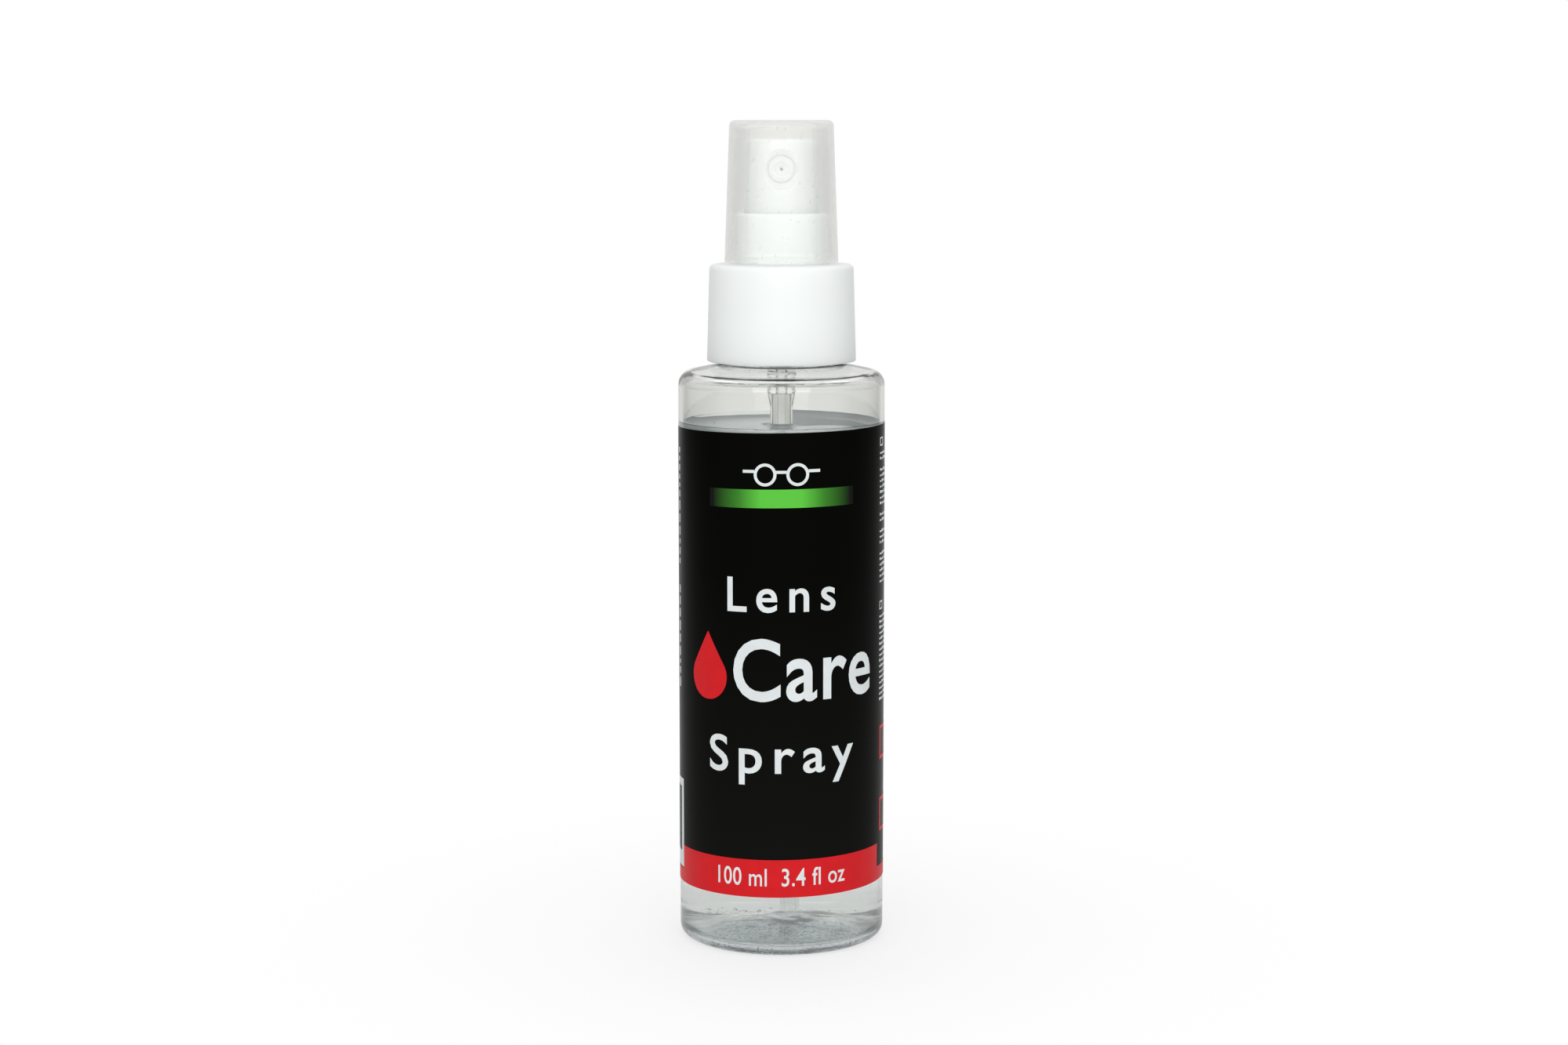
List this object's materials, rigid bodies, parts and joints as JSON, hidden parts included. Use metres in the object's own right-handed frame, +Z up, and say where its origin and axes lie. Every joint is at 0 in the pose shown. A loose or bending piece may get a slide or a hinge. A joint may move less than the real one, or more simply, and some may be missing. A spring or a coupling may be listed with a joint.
{
  "type": "lens cleaning spray",
  "caption": "Clear cylindrical bottle with a black wrap-round label, a white screw-on fine-mist pump and a translucent push-on overcap.",
  "frame": {"origin": "centre of the bottle's standing ring, on the surface it stands on", "axes": "+Z up along the bottle's axis; -Y towards the front of the label and the nozzle; +X to the right seen from the front"},
  "size_m": [0.0388, 0.0388, 0.1541],
  "materials": {
    "bottle_pet": "clear PET, glossy",
    "label_film": "printed black film, satin",
    "cleaning_liquid": "clear liquid",
    "housing_pp": "natural polypropylene, moulded",
    "white_pp": "white polypropylene, moulded",
    "gasket_foam": "foamed polyethylene",
    "tube_pe": "natural polyethylene, extruded",
    "spring_steel": "drawn stainless steel wire",
    "ball_steel": "polished stainless steel",
    "closure_pp": "white polypropylene, smooth satin",
    "overcap_pp": "natural translucent polypropylene, glossy",
    "piston_pe": "soft natural polyethylene",
    "actuator_pp": "white polypropylene, smooth satin",
    "insert_pom": "white acetal, fine moulded"
  },
  "bodies": {
    "bottle": {"bottle": "bottle_pet", "label": "label_film", "cleaning_fluid": "cleaning_liquid"},
    "pump": {"pump_housing": "housing_pp", "retaining_ring": "white_pp", "neck_gasket": "gasket_foam", "dip_tube": "tube_pe", "return_spring": "spring_steel"},
    "closure": {"closure": "closure_pp"},
    "overcap": {"overcap": "overcap_pp"},
    "stem": {"stem": "white_pp", "stem_core": "white_pp"},
    "piston": {"piston": "piston_pe"},
    "button": {"actuator": "actuator_pp", "nozzle_insert": "insert_pom"},
    "inlet_ball": {"inlet_ball": "ball_steel"}
  },
  "joints": [
    {"name": "pump_rise", "type": "slide", "parent": "bottle", "child": "pump", "axis": [0, 0, 1], "range_m": [0, 0.00477]},
    {"name": "closure_unscrew", "type": "hinge", "parent": "pump", "child": "closure", "pos_m": [0, 0, 0.1185], "axis": [0, 0, 1], "range_deg": [0, 540]},
    {"name": "cap_pull", "type": "slide", "parent": "closure", "child": "overcap", "axis": [0, 0, 1], "range_m": [0, 0.03]},
    {"name": "actuator_press", "type": "slide", "parent": "pump", "child": "stem", "axis": [0, 0, 1], "range_m": [-0.0045, 0], "stiffness_N_per_m": 1500, "springref_m": 0.0035, "deforming": ["return_spring"]},
    {"name": "actuator_turn", "type": "hinge", "parent": "stem", "child": "button", "pos_m": [0, 0, 0.1415], "axis": [0, 0, 1], "continuous": true},
    {"name": "outlet_valve", "type": "slide", "parent": "stem", "child": "piston", "axis": [0, 0, 1], "range_m": [0, 0.0004]},
    {"name": "inlet_ball_lift", "type": "slide", "parent": "pump", "child": "inlet_ball", "axis": [0, 0, 1], "range_m": [0, 0.0008]}
  ],
  "couplings": [
    {"joint": "pump_rise", "follows": "closure_unscrew", "m_per_rad": 0.00050532}
  ]
}
